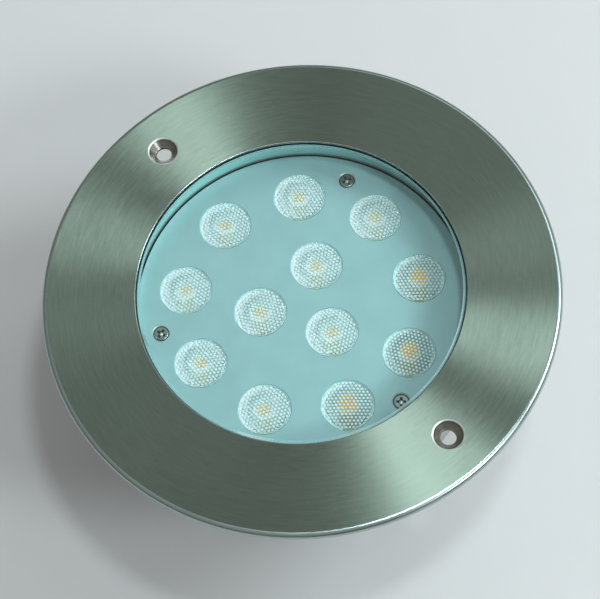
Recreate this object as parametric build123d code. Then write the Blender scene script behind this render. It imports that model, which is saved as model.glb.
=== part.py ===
from build123d import *
import os
from math import asin, cos, radians, sin, sqrt, tan

# Recessed underwater light: a flush face ring and stepped glass over a sealed cup that holds twelve LEDs.
# Sizes are in millimetres. The origin is the centre of the flange's back face, which seats on the wall,
# and +Z runs out along the beam. The two fixing holes lie on the X axis.

# Face ring
window_diameter = 127.2
ring_width = 36.4
flange_thickness = 4.0
window_chamfer = 0.3
fixing_inset = 17.8
fixing_hole_diameter = 6.0
countersink_diameter = 11.8
countersink_angle = 90.0
collar_wall = 8.5
tapped_depth = 7.0

# Front glass, stepped so that its boss stands in the window
glass_thickness = 8.0
glass_recess = 0.9
glass_bevel_width = 1.7
glass_bevel_drop = 0.5
glass_step_width = 5.3
glass_foot_chamfer = 0.6
boss_gap = 0.4
collar_clearance = 0.5

# Gaskets of the glass and the cup
front_gasket_thickness = 0.8
gasket_lip_drop = 0.1
body_gasket_thickness = 1.0
body_gasket_setback = 0.6
ledge_width = 2.9

# Housing cup and the flange welded round it
housing_wall = 2.0
housing_flange_thickness = 3.0
housing_floor = 2.5
housing_corner_radius = 6.0
wiring_space = 2.1

# Clamp screws from the back, with their washers
clamp_count = 8
clamp_screw_diameter = 4.0
clamp_head_diameter = 7.0
clamp_head_height = 4.0
clamp_head_chamfer = 0.4
clamp_key_width = 3.0
clamp_key_depth = 2.0
clamp_washer_diameter = 8.0
clamp_washer_thickness = 0.8
clamp_thread_reserve = 0.8
clamp_hole_clearance = 0.25

# Fits that many pieces share
thread_play = 0.05
small_screw_diameter = 3.0
small_hole_clearance = 0.2
seat_gap = 0.1
nut_corner_angle = 30.0
nut_corner_inset = 0.3

# Cover plate that the lenses stand in
glass_to_plate = 8.4
cover_plate_thickness = 2.0
cover_plate_edge_gap = 1.0
cover_screw_inset = 8.3
cover_head_diameter = 6.2
cover_countersink_clearance = 0.3
cover_screw_length = 8.0
cross_recess_width = 0.9
cross_recess_span = 3.4
cross_recess_depth = 1.3
cross_recess_turn = 45.0

# Lenses, in an outer and an inner circle
outer_lens_count = 9
inner_lens_count = 3
outer_lens_inset = 18.2
inner_circle_radius = 16.9
outer_lens_start = 20.0
lens_diameter = 20.0
lens_height = 10.9
lens_proud = 0.1
lens_rim_height = 3.2
lens_rim_width = 0.7
lens_crown = 0.5
lens_neck_width = 1.4
lens_foot_diameter = 8.6
lens_bulge = 0.6
lens_hole_clearance = 0.3

# Lens holders
holder_wall = 1.0
holder_lens_clearance = 0.2
holder_shelf_width = 1.2
holder_foot_opening = 12.8

# LED emitters
led_body_diameter = 8.0
led_body_height = 3.0
led_dome_diameter = 5.2
led_pocket_clearance = 0.5
led_lens_gap = 0.2
led_tab_length = 1.4
led_tab_width = 1.6
led_tab_thickness = 0.4

# LED board, thermal pad and heat spreader
board_edge_gap = 2.6
board_thickness = 1.6
lead_hole_diameter = 6.0
board_screw_clearance = 4.4
board_screw_head_diameter = 5.6
board_screw_head_height = 1.8
board_screw_grip = 2.6
pad_thickness = 0.4
pad_edge_gap = 1.0
spreader_thickness = 4.0
spreader_gap = 0.4

# Standoffs and posts that carry the stack
standoff_width = 5.5
standoff_thread_depth = 7.0
stud_engagement = 6.0
post_width = 7.0
post_thread_reserve = 1.5

# Driver board and what is soldered to it
driver_clearance = 6.3
driver_board_thickness = 1.6
driver_spacer_length = 12.0
driver_screw_inset = 6.0
driver_screw_length = 6.0
driver_stud_length = 3.0
inductor_diameter = 12.0
inductor_height = 8.0
inductor_flange = 1.6
inductor_radius = 24.0
inductor_angle = 60.0
capacitor_count = 3
capacitor_diameter = 8.0
capacitor_height = 10.0
capacitor_radius = 27.0
capacitor_spacing = 24.0
chip_count = 4
chip_length = 6.0
chip_width = 4.0
chip_height = 1.6
chip_radius = 12.0
terminal_length = 12.0
terminal_width = 8.0
terminal_height = 9.0
terminal_entry_diameter = 3.2
terminal_entry_depth = 5.0
terminal_offset = 24.0
lead_diameter = 1.6
lead_spacing = 3.0
lead_bend_radius = 1.6
lead_foot_length = 2.4

# Cable gland in the middle of the housing's floor
gland_thread_diameter = 20.0
gland_hole_clearance = 0.2
gland_bore_diameter = 12.4
gland_nut_wall = 2.0
gland_hex_height = 5.0
gland_gasket_thickness = 1.0
gland_gasket_width = 2.2
gland_locknut_height = 4.0
gland_thread_proud = 1.0
gland_spigot_step = 0.6
gland_spigot_length = 8.0
gland_seal_wall = 3.0
gland_seal_proud = 1.6
gland_nut_start = 0.6
gland_nut_height = 8.4
gland_dome_height = 5.0
gland_dome_taper = 3.5
gland_dome_wall = 2.4
cable_diameter = 9.0
cable_clearance = 0.9

# Radii and heights that follow
window_radius = window_diameter / 2
flange_radius = window_radius + ring_width
fixing_radius = flange_radius - fixing_inset
boss_radius = window_radius - boss_gap
glass_flange_radius = boss_radius + glass_step_width
collar_inner_radius = glass_flange_radius + collar_clearance
collar_outer_radius = collar_inner_radius + collar_wall
clamp_circle_radius = (collar_inner_radius + collar_outer_radius) / 2
housing_bore_radius = glass_flange_radius - ledge_width
cover_plate_radius = housing_bore_radius - cover_plate_edge_gap
cover_screw_radius = cover_plate_radius - cover_screw_inset
outer_circle_radius = cover_plate_radius - outer_lens_inset
holder_radius = lens_diameter / 2 + holder_lens_clearance + holder_wall
board_screw_radius = outer_circle_radius - holder_radius - board_screw_clearance - board_screw_head_diameter / 2
post_corner_radius = post_width / sqrt(3)
driver_board_radius = cover_screw_radius - post_corner_radius - driver_clearance
driver_screw_radius = driver_board_radius - driver_screw_inset
gland_hex_width = gland_thread_diameter + 2 * gland_nut_wall
gland_spigot_radius = gland_thread_diameter / 2 - gland_spigot_step

face_z = flange_thickness
glass_top = face_z - glass_recess
glass_bottom = glass_top - glass_thickness
step_top = -front_gasket_thickness
housing_top = glass_bottom - body_gasket_thickness
flange_bottom = housing_top - housing_flange_thickness
plate_top = glass_bottom - glass_to_plate
plate_bottom = plate_top - cover_plate_thickness
lens_top = plate_top + lens_proud
lens_shelf = lens_top - lens_rim_height
lens_bottom = lens_top - lens_height
board_top = lens_bottom - led_lens_gap - led_body_height
board_bottom = board_top - board_thickness
spreader_top = board_bottom - pad_thickness
spreader_bottom = spreader_top - spreader_thickness
driver_top = spreader_bottom - driver_spacer_length
driver_bottom = driver_top - driver_board_thickness
floor_top = driver_bottom - terminal_height - wiring_space
floor_bottom = floor_top - housing_floor
gland_shoulder = floor_bottom - gland_gasket_thickness
gland_hex_bottom = gland_shoulder - gland_hex_height
gland_spigot_bottom = gland_hex_bottom - gland_spigot_length

small_hole_radius = small_screw_diameter / 2 + small_hole_clearance
small_tap_radius = small_screw_diameter / 2 + thread_play

# Directions of what repeats, in degrees about Z
clamp_angles = [360 / clamp_count * (k + 0.5) for k in range(clamp_count)]
support_angles = [360 / inner_lens_count * k for k in range(inner_lens_count)]
midway_angles = [angle + 60 for angle in support_angles]
outer_lens_angles = [outer_lens_start + 360 / outer_lens_count * k for k in range(outer_lens_count)]
lens_places = [(outer_circle_radius, angle) for angle in outer_lens_angles]
lens_places += [(inner_circle_radius, angle) for angle in support_angles]


# A face in the XZ half plane, from points and arcs, spun round the Z axis.
def turned(*edges):
    outline = make_face(Plane.XZ * Wire(list(edges)))
    return revolve(outline, Axis.Z)


def turned_polygon(*points):
    return turned(*Polyline(*points, close=True).edges())


def tube(outer_radius, inner_radius, bottom, top):
    return turned_polygon((inner_radius, bottom), (outer_radius, bottom), (outer_radius, top), (inner_radius, top))


def disc(radius, bottom, top):
    return Pos(0, 0, bottom) * Cylinder(radius, top - bottom, align=(Align.CENTER, Align.CENTER, Align.MIN))


def hexagon(width, bottom, top):
    return Pos(0, 0, bottom) * extrude(RegularPolygon(width / 2, 6, major_radius=False), top - bottom)


# A hexagon whose corners are turned off to a cone at both ends, as on a nut.
def nut_hexagon(width, bottom, top):
    end_radius = width / 2 - nut_corner_inset
    spread_radius = end_radius + (top - bottom) / tan(radians(nut_corner_angle))
    upright = turned_polygon((0, bottom), (end_radius, bottom), (spread_radius, top), (0, top))
    inverted = turned_polygon((0, bottom), (spread_radius, bottom), (end_radius, top), (0, top))
    return hexagon(width, bottom, top) & upright & inverted


def at(radius, angle):
    return Rot(0, 0, angle) * Pos(radius, 0, 0)


def ring_of(piece, radius, angles):
    return [at(radius, angle) * piece for angle in angles]


def without(piece, cutters):
    for cutter in cutters:
        piece -= cutter
    return piece


# A shallow arc centred on the axis, from a rim up or down to the pole.
def cap_arc(radius, rim_z, pole_z):
    rise = pole_z - rim_z
    sphere = (radius**2 + rise**2) / (2 * rise)
    half = asin(radius / sphere) / 2
    return ThreePointArc((radius, rim_z), (sphere * sin(half), pole_z - sphere * (1 - cos(half))), (0, pole_z))


# The flange's rim is fully rounded, and a collar behind it centres the glass and takes the clamp screws.
def face_ring():
    rim_radius = flange_thickness / 2
    rim_centre = flange_radius - rim_radius
    outline = Polyline(
        (rim_centre, 0),
        (collar_outer_radius, 0),
        (collar_outer_radius, glass_bottom),
        (collar_inner_radius, glass_bottom),
        (collar_inner_radius, 0),
        (window_radius, 0),
        (window_radius, face_z - window_chamfer),
        (window_radius + window_chamfer, face_z),
        (rim_centre, face_z),
    )
    rim = ThreePointArc((rim_centre, face_z), (flange_radius, rim_radius), (rim_centre, 0))
    ring = turned(*outline.edges(), *rim.edges())
    sink_depth = (countersink_diameter - fixing_hole_diameter) / 2 / tan(radians(countersink_angle / 2))
    fixing = disc(fixing_hole_diameter / 2, 0, face_z) + turned_polygon(
        (0, face_z - sink_depth),
        (fixing_hole_diameter / 2, face_z - sink_depth),
        (countersink_diameter / 2, face_z),
        (0, face_z),
    )
    tapped = disc(clamp_screw_diameter / 2 + thread_play, glass_bottom, glass_bottom + tapped_depth)
    ring = without(ring, ring_of(fixing, fixing_radius, [0, 180]))
    return without(ring, ring_of(tapped, clamp_circle_radius, clamp_angles))


def front_glass():
    return turned_polygon(
        (0, glass_bottom),
        (glass_flange_radius - glass_foot_chamfer, glass_bottom),
        (glass_flange_radius, glass_bottom + glass_foot_chamfer),
        (glass_flange_radius, step_top),
        (boss_radius, step_top),
        (boss_radius, glass_top - glass_bevel_drop),
        (boss_radius - glass_bevel_width, glass_top),
        (0, glass_top),
    )


# An L section: the flat leg seals the step, and the lip fills the gap between the boss and the window.
def front_gasket():
    lip_top = glass_top - glass_bevel_drop - gasket_lip_drop
    return turned_polygon(
        (boss_radius, step_top),
        (glass_flange_radius, step_top),
        (glass_flange_radius, 0),
        (window_radius, 0),
        (window_radius, lip_top),
        (boss_radius, lip_top),
    )


def body_gasket():
    ring = tube(collar_outer_radius, housing_bore_radius + body_gasket_setback, housing_top, glass_bottom)
    hole = disc(clamp_screw_diameter / 2 + clamp_hole_clearance, housing_top, glass_bottom)
    return without(ring, ring_of(hole, clamp_circle_radius, clamp_angles))


# A drawn cup, rounded into its floor inside and out. Its rim and the welded flange carry the glass.
def housing():
    outer_radius = housing_bore_radius + housing_wall
    inner_corner = housing_corner_radius - housing_wall
    hole_radius = gland_thread_diameter / 2 + gland_hole_clearance
    wall = Polyline(
        (housing_bore_radius, floor_top + inner_corner),
        (housing_bore_radius, housing_top),
        (outer_radius, housing_top),
        (outer_radius, floor_bottom + housing_corner_radius),
    )
    outer_corner = RadiusArc(
        (outer_radius, floor_bottom + housing_corner_radius),
        (outer_radius - housing_corner_radius, floor_bottom),
        housing_corner_radius,
    )
    floor = Polyline(
        (outer_radius - housing_corner_radius, floor_bottom),
        (hole_radius, floor_bottom),
        (hole_radius, floor_top),
        (housing_bore_radius - inner_corner, floor_top),
    )
    inside_corner = RadiusArc(
        (housing_bore_radius - inner_corner, floor_top),
        (housing_bore_radius, floor_top + inner_corner),
        -inner_corner,
    )
    return turned(*wall.edges(), *outer_corner.edges(), *floor.edges(), *inside_corner.edges())


def housing_flange():
    ring = tube(collar_outer_radius, housing_bore_radius + housing_wall, flange_bottom, housing_top)
    hole = disc(clamp_screw_diameter / 2 + clamp_hole_clearance, flange_bottom, housing_top)
    return without(ring, ring_of(hole, clamp_circle_radius, clamp_angles))


def clamp_screws():
    seat = flange_bottom - clamp_washer_thickness
    head_end = seat - clamp_head_height
    shank_end = glass_bottom + tapped_depth - clamp_thread_reserve
    head_radius = clamp_head_diameter / 2
    screw = turned_polygon(
        (0, head_end),
        (head_radius - clamp_head_chamfer, head_end),
        (head_radius, head_end + clamp_head_chamfer),
        (head_radius, seat),
        (0, seat),
    )
    screw += disc(clamp_screw_diameter / 2, seat, shank_end)
    screw -= hexagon(clamp_key_width, head_end, head_end + clamp_key_depth)
    return ring_of(screw, clamp_circle_radius, clamp_angles)


def clamp_washers():
    seat = flange_bottom - clamp_washer_thickness
    hole_radius = clamp_screw_diameter / 2 + clamp_hole_clearance
    washer = tube(clamp_washer_diameter / 2, hole_radius, seat, flange_bottom)
    return ring_of(washer, clamp_circle_radius, clamp_angles)


def cover_plate():
    plate = disc(cover_plate_radius, plate_bottom, plate_top)
    lens_hole = disc(lens_diameter / 2 + lens_hole_clearance, plate_bottom, plate_top)
    sink_radius = cover_head_diameter / 2 + cover_countersink_clearance
    sink_depth = sink_radius - small_hole_radius
    screw_hole = disc(small_hole_radius, plate_bottom, plate_top) + turned_polygon(
        (0, plate_top - sink_depth),
        (small_hole_radius, plate_top - sink_depth),
        (sink_radius, plate_top),
        (0, plate_top),
    )
    plate = without(plate, [at(radius, angle) * lens_hole for radius, angle in lens_places])
    return without(plate, ring_of(screw_hole, cover_screw_radius, support_angles))


# Countersunk head flush with the plate, with a cross recess.
def cover_screws():
    head_radius = cover_head_diameter / 2
    head_top = plate_top - cover_countersink_clearance
    shank_radius = small_screw_diameter / 2
    screw = turned_polygon(
        (0, head_top - cover_screw_length),
        (shank_radius, head_top - cover_screw_length),
        (shank_radius, head_top - head_radius + shank_radius),
        (head_radius, head_top),
        (0, head_top),
    )
    slot = Pos(0, 0, head_top) * Box(
        cross_recess_span, cross_recess_width, cross_recess_depth, align=(Align.CENTER, Align.CENTER, Align.MAX)
    )
    screw = without(screw, [Rot(0, 0, turn) * slot for turn in (-cross_recess_turn, cross_recess_turn)])
    return ring_of(screw, cover_screw_radius, support_angles)


# Collimator: a bulging reflector wall, a pocket for the LED's dome below, and a crowned face above a flat rim.
def lens():
    radius = lens_diameter / 2
    foot = lens_foot_diameter / 2
    neck = radius - lens_neck_width
    pocket = led_dome_diameter / 2 + led_pocket_clearance
    pocket_top = lens_bottom - led_lens_gap + pocket + led_pocket_clearance
    middle_radius = (neck + foot) / 2 + lens_bulge
    middle_z = (lens_shelf + lens_bottom) / 2 - lens_bulge
    wall = ThreePointArc((foot, lens_bottom), (middle_radius, middle_z), (neck, lens_shelf))
    rim = Polyline((neck, lens_shelf), (radius, lens_shelf), (radius, lens_top), (radius - lens_rim_width, lens_top))
    crown = cap_arc(radius - lens_rim_width, lens_top, lens_top + lens_crown)
    axis = Line((0, lens_top + lens_crown), (0, pocket_top))
    hollow = cap_arc(pocket, pocket_top - pocket, pocket_top)
    foot_face = Polyline((pocket, pocket_top - pocket), (pocket, lens_bottom), (foot, lens_bottom))
    return turned(
        *wall.edges(), *rim.edges(), *crown.edges(), *axis.edges(), *hollow.edges(), *foot_face.edges()
    )


# A moulded cup: the lens rim drops into its socket, and a cone leads down to the board.
def lens_holder():
    socket = lens_diameter / 2 + holder_lens_clearance
    shelf = socket - holder_shelf_width
    top = plate_bottom - seat_gap
    return turned_polygon(
        (holder_foot_opening / 2, board_top),
        (holder_radius, board_top),
        (holder_radius, top),
        (socket, top),
        (socket, lens_shelf),
        (shelf, lens_shelf),
    )


# A round body with a clear dome and two solder tabs.
def led_emitter():
    body_top = board_top + led_body_height
    body = disc(led_body_diameter / 2, board_top, body_top)
    dome = Pos(0, 0, body_top) * Sphere(led_dome_diameter / 2)
    dome &= disc(led_dome_diameter / 2, body_top, body_top + led_dome_diameter / 2)
    span = led_body_diameter + 2 * led_tab_length
    tabs = Pos(0, 0, board_top) * Box(
        span, led_tab_width, led_tab_thickness, align=(Align.CENTER, Align.CENTER, Align.MIN)
    )
    return body + dome + tabs


def support_holes(bottom, top):
    return ring_of(disc(small_hole_radius, bottom, top), cover_screw_radius, support_angles)


def led_board():
    board = disc(cover_plate_radius - board_edge_gap, board_bottom, board_top)
    screw_hole = disc(small_hole_radius, board_bottom, board_top)
    board -= disc(lead_hole_diameter / 2, board_bottom, board_top)
    board = without(board, support_holes(board_bottom, board_top))
    return without(board, ring_of(screw_hole, board_screw_radius, midway_angles))


def thermal_pad():
    pad = disc(cover_plate_radius - board_edge_gap - pad_edge_gap, spreader_top, board_bottom)
    screw_hole = disc(small_hole_radius, spreader_top, board_bottom)
    pad -= disc(lead_hole_diameter / 2, spreader_top, board_bottom)
    pad = without(pad, support_holes(spreader_top, board_bottom))
    return without(pad, ring_of(screw_hole, board_screw_radius, midway_angles))


def heat_spreader():
    plate = disc(housing_bore_radius - spreader_gap, spreader_bottom, spreader_top)
    board_tap = disc(small_tap_radius, spreader_bottom, spreader_top)
    driver_tap = disc(small_tap_radius, spreader_bottom, spreader_bottom + driver_stud_length + seat_gap)
    plate -= disc(lead_hole_diameter / 2, spreader_bottom, spreader_top)
    plate = without(plate, support_holes(spreader_bottom, spreader_top))
    plate = without(plate, ring_of(board_tap, board_screw_radius, midway_angles))
    return without(plate, ring_of(driver_tap, driver_screw_radius, midway_angles))


def board_screws():
    screw = disc(board_screw_head_diameter / 2, board_top, board_top + board_screw_head_height)
    screw += disc(small_screw_diameter / 2, spreader_top - board_screw_grip, board_top)
    return ring_of(screw, board_screw_radius, midway_angles)


# Hexagonal standoffs under the cover plate, whose studs pass through the board and spreader into the posts.
def plate_standoffs():
    standoff = hexagon(standoff_width, board_top, plate_bottom)
    standoff -= disc(small_tap_radius, plate_bottom - standoff_thread_depth, plate_bottom)
    standoff += disc(small_screw_diameter / 2, spreader_bottom - stud_engagement, board_top)
    return ring_of(standoff, cover_screw_radius, support_angles)


def support_posts():
    post = hexagon(post_width, floor_top, spreader_bottom)
    post -= disc(small_tap_radius, spreader_bottom - stud_engagement - post_thread_reserve, spreader_bottom)
    return ring_of(post, cover_screw_radius, support_angles)


def driver_board():
    board = disc(driver_board_radius, driver_bottom, driver_top)
    hole = disc(small_hole_radius, driver_bottom, driver_top)
    return without(board, ring_of(hole, driver_screw_radius, midway_angles))


def driver_spacers():
    spacer = hexagon(standoff_width, driver_top, spreader_bottom)
    spacer -= disc(small_tap_radius, driver_top, driver_top + driver_screw_length)
    spacer += disc(small_screw_diameter / 2, spreader_bottom, spreader_bottom + driver_stud_length)
    return ring_of(spacer, driver_screw_radius, midway_angles)


def driver_screws():
    head_end = driver_bottom - board_screw_head_height
    shank_end = driver_bottom + driver_screw_length
    screw = disc(board_screw_head_diameter / 2, head_end, driver_bottom)
    screw += disc(small_screw_diameter / 2, driver_bottom, shank_end)
    return ring_of(screw, driver_screw_radius, midway_angles)


# Drum cores with the winding between two flanges.
def driver_inductors():
    flange = inductor_diameter / 2
    waist = flange - inductor_flange / 2
    low = driver_top + inductor_flange
    high = driver_top + inductor_height - inductor_flange
    drum = disc(flange, driver_top, low) + disc(waist, low, high) + disc(flange, high, high + inductor_flange)
    return ring_of(drum, inductor_radius, [-inductor_angle, inductor_angle])


def driver_capacitors():
    can = disc(capacitor_diameter / 2, driver_top, driver_top + capacitor_height)
    can = fillet(can.edges().group_by(Axis.Z)[-1], capacitor_diameter / 16)
    angles = [180 + capacitor_spacing * (k - (capacitor_count - 1) / 2) for k in range(capacitor_count)]
    return ring_of(can, capacitor_radius, angles)


def driver_chips():
    chip = Pos(0, 0, driver_top) * Box(
        chip_width, chip_length, chip_height, align=(Align.CENTER, Align.CENTER, Align.MIN)
    )
    return ring_of(chip, chip_radius, [360 / chip_count * (k + 0.5) for k in range(chip_count)])


# Two-way screw terminal under the driver board, open towards the gland.
def input_terminal():
    block = Pos(terminal_offset, 0, driver_bottom) * Box(
        terminal_width, terminal_length, terminal_height, align=(Align.CENTER, Align.CENTER, Align.MAX)
    )
    entry = Rot(0, 90, 0) * Cylinder(
        terminal_entry_diameter / 2, terminal_entry_depth, align=(Align.CENTER, Align.CENTER, Align.MIN)
    )
    mouth = terminal_offset - terminal_width / 2
    for side in (-1, 1):
        block -= Pos(mouth, side * terminal_length / 4, driver_bottom - terminal_height / 2) * entry
    return block


# Two leads rise from the driver board through the spreader and turn outwards onto the LED board's pads.
def led_leads():
    turn_z = board_top + lead_diameter / 2 + seat_gap
    rise_x = lead_spacing / 2
    path = Polyline((rise_x, 0, driver_top), (rise_x, 0, turn_z), (rise_x + lead_foot_length, 0, turn_z))
    route = FilletPolyline(
        (rise_x, 0, driver_top),
        (rise_x, 0, turn_z),
        (rise_x + lead_foot_length, 0, turn_z),
        radius=min(lead_bend_radius, lead_foot_length / 2, path.length / 4),
    )
    lead = sweep(Plane(route @ 0, z_dir=route % 0) * Circle(lead_diameter / 2), path=route)
    return [Rot(0, 0, 90) * lead, Rot(0, 0, -90) * lead]


def gland_body():
    thread_radius = gland_thread_diameter / 2
    thread_top = floor_top + gland_locknut_height + gland_thread_proud
    body = nut_hexagon(gland_hex_width, gland_hex_bottom, gland_shoulder)
    body += disc(thread_radius, gland_shoulder, thread_top)
    body += disc(gland_spigot_radius, gland_spigot_bottom, gland_hex_bottom)
    body -= disc(gland_bore_diameter / 2, gland_spigot_bottom, thread_top)
    return body - disc(cable_diameter / 2 + gland_seal_wall, gland_spigot_bottom, gland_hex_bottom)


def gland_gasket():
    inner = gland_thread_diameter / 2 + gland_hole_clearance
    return tube(inner + gland_gasket_width - gland_hole_clearance, inner, gland_shoulder, floor_bottom)


def gland_locknut():
    nut = nut_hexagon(gland_hex_width, floor_top, floor_top + gland_locknut_height)
    return nut - disc(gland_thread_diameter / 2 + thread_play, floor_top, floor_top + gland_locknut_height)


# Rubber sleeve round the cable, squeezed by the dome nut.
def gland_seal():
    outer = cable_diameter / 2 + gland_seal_wall
    end = gland_spigot_bottom - gland_seal_proud
    return turned_polygon(
        (cable_diameter / 2, end),
        (outer - gland_seal_proud, end),
        (outer, gland_spigot_bottom),
        (outer, gland_hex_bottom),
        (cable_diameter / 2, gland_hex_bottom),
    )


def gland_dome_nut():
    hex_top = gland_hex_bottom - gland_nut_start
    hex_bottom = hex_top - gland_nut_height
    dome_end = hex_bottom - gland_dome_height
    inner = gland_spigot_radius + thread_play
    mouth = cable_diameter / 2 + cable_clearance
    nut = nut_hexagon(gland_hex_width, hex_bottom, hex_top)
    shoulder = gland_hex_width / 2
    end_radius = shoulder - gland_dome_taper
    dome = turned_polygon((0, dome_end), (end_radius, dome_end), (shoulder, hex_bottom), (0, hex_bottom))
    dome = fillet(dome.edges().group_by(Axis.Z)[0], gland_dome_wall)
    cavity = disc(inner, hex_bottom, hex_top) + turned_polygon(
        (0, dome_end + gland_dome_wall),
        (mouth, dome_end + gland_dome_wall),
        (inner, hex_bottom),
        (0, hex_bottom),
    )
    return nut + dome - cavity - disc(mouth, dome_end, hex_bottom)


pieces = {
    "face_ring": face_ring(),
    "front_glass": front_glass(),
    "front_gasket": front_gasket(),
    "body_gasket": body_gasket(),
    "housing": housing(),
    "housing_flange": housing_flange(),
    "clamp_screws": clamp_screws(),
    "clamp_washers": clamp_washers(),
    "cover_plate": cover_plate(),
    "cover_screws": cover_screws(),
    "plate_standoffs": plate_standoffs(),
    "led_board": led_board(),
    "thermal_pad": thermal_pad(),
    "heat_spreader": heat_spreader(),
    "board_screws": board_screws(),
    "support_posts": support_posts(),
    "driver_board": driver_board(),
    "driver_spacers": driver_spacers(),
    "driver_screws": driver_screws(),
    "driver_inductors": driver_inductors(),
    "driver_capacitors": driver_capacitors(),
    "driver_chips": driver_chips(),
    "input_terminal": input_terminal(),
    "led_leads": led_leads(),
    "gland_body": gland_body(),
    "gland_gasket": gland_gasket(),
    "gland_locknut": gland_locknut(),
    "gland_seal": gland_seal(),
    "gland_dome_nut": gland_dome_nut(),
    "led_emitters": [at(radius, angle) * led_emitter() for radius, angle in lens_places],
}
for number, (radius, angle) in enumerate(lens_places, start=1):
    pieces[f"lens_{number:02d}"] = at(radius, angle) * lens()
    pieces[f"lens_holder_{number:02d}"] = at(radius, angle) * lens_holder()

os.makedirs("parts", exist_ok=True)
for node, shape in pieces.items():
    if isinstance(shape, list):
        shape = Compound(children=shape)
    export_step(shape, f"parts/{node}.step")
    print(node, round(shape.volume, 1))
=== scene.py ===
from math import atan2, cos, hypot, pi, radians, sin, sqrt, tan

import bpy
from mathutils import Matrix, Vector


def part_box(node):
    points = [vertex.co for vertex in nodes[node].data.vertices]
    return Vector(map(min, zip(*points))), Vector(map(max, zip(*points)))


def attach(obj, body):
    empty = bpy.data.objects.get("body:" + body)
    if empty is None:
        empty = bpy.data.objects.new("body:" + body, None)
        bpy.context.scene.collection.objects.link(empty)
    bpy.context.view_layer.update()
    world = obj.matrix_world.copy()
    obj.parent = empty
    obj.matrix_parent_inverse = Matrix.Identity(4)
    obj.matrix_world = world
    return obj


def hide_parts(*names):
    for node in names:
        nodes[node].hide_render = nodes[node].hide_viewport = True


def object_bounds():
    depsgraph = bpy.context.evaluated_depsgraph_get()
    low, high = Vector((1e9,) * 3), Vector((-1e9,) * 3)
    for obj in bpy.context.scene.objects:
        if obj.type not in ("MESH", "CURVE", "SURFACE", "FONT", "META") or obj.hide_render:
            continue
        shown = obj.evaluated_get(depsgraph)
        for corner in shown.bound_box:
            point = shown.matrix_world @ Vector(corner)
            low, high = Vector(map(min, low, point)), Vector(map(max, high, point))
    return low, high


# Recessed underwater light: a brushed face ring and stepped glass over twelve beaded lenses, with a
# sealed cup and a cable gland behind. Everything is in metres, in the frame that the load gives.
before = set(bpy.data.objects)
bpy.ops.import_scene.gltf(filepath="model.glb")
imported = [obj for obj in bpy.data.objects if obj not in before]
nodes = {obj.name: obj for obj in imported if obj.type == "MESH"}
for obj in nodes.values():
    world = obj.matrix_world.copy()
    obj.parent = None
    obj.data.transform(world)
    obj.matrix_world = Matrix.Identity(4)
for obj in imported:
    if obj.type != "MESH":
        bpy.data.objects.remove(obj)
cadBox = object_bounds()
mm = 0.001
print("frame loaded with", len(nodes), "nodes")


# Camera, set first so that the rest is judged in its view
cameraView = {
    "location": (0.270209, -0.184093, 0.696467),
    "turn": (24.7055, 3.4945, 48.3355),  # degrees
    "lens": 120.0,
    "sensor": 36.0,
}


def placeCamera(view):
    bpy.ops.object.camera_add(location=view["location"], rotation=[radians(a) for a in view["turn"]])
    camera = bpy.context.object
    camera.name = "photoCamera"
    camera.data.lens = view["lens"]
    camera.data.sensor_width = view["sensor"]
    bpy.context.scene.camera = camera
    bpy.context.scene.view_settings.view_transform = "Standard"


placeCamera(cameraView)
print("camera placed")


# Hands: small steps that every piece uses
def pickNone():
    bpy.ops.object.select_all(action="DESELECT")


def pick(piece):
    pickNone()
    piece.select_set(True)
    bpy.context.view_layer.objects.active = piece


def started(name):
    piece = bpy.context.object
    piece.name = name
    piece.data.name = name
    pick(piece)
    return piece


def edit(piece):
    pick(piece)
    bpy.ops.object.mode_set(mode="EDIT")
    bpy.ops.mesh.select_all(action="DESELECT")
    bpy.ops.mesh.select_mode(type="FACE")


def pickAll():
    bpy.ops.mesh.select_all(action="SELECT")


def done():
    bpy.ops.object.mode_set(mode="OBJECT")


def pickFaces(piece, test):
    edit(piece)
    done()
    for face in piece.data.polygons:
        face.select = test(face.center, face.normal)
    bpy.ops.object.mode_set(mode="EDIT")


def applied(piece, kind, **values):
    pick(piece)
    modifier = piece.modifiers.new(kind.title(), kind)
    for name, value in values.items():
        setattr(modifier, name, value)
    bpy.ops.object.modifier_apply(modifier=modifier.name)


def settle(piece):
    pick(piece)
    bpy.ops.object.transform_apply(location=True, rotation=True, scale=True)


def copied(piece, name):
    pick(piece)
    bpy.ops.object.duplicate(linked=False)
    return started(name)


def joined(pieces, name):
    pickNone()
    for piece in pieces:
        piece.select_set(True)
    bpy.context.view_layer.objects.active = pieces[0]
    bpy.ops.object.join()
    return started(name)


def dropped(*pieces):
    for piece in pieces:
        pick(piece)
        bpy.ops.object.delete()


def cut(piece, cutters, operation="DIFFERENCE"):
    for cutter in cutters:
        applied(piece, "BOOLEAN", operation=operation, solver="EXACT", object=cutter)
    dropped(*cutters)
    edit(piece)
    pickAll()
    bpy.ops.mesh.remove_doubles(threshold=mm / 250)
    bpy.ops.mesh.dissolve_degenerate(threshold=mm / 250)
    done()


# Smooth shading, with the level faces kept apart so that a softened edge doesn't tint them
def smooth(piece, angle=38.0):
    pick(piece)
    bpy.ops.object.shade_smooth_by_angle(angle=radians(angle))
    pickFaces(piece, lambda c, n: abs(n.z) > 0.9999)
    bpy.ops.mesh.region_to_loop()
    bpy.ops.mesh.mark_sharp()
    done()
    applied(piece, "WEIGHTED_NORMAL", keep_sharp=True)


def softEdges(piece, width, segments=2, angle=40.0):
    applied(piece, "BEVEL", width=width, segments=segments, limit_method="ANGLE",
            angle_limit=radians(angle), miter_outer="MITER_ARC")


def arc(centre, radius, start, end, count):
    angles = [radians(start + (end - start) * k / count) for k in range(count + 1)]
    return [(centre[0] + radius * cos(a), centre[1] + radius * sin(a)) for a in angles]


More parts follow.
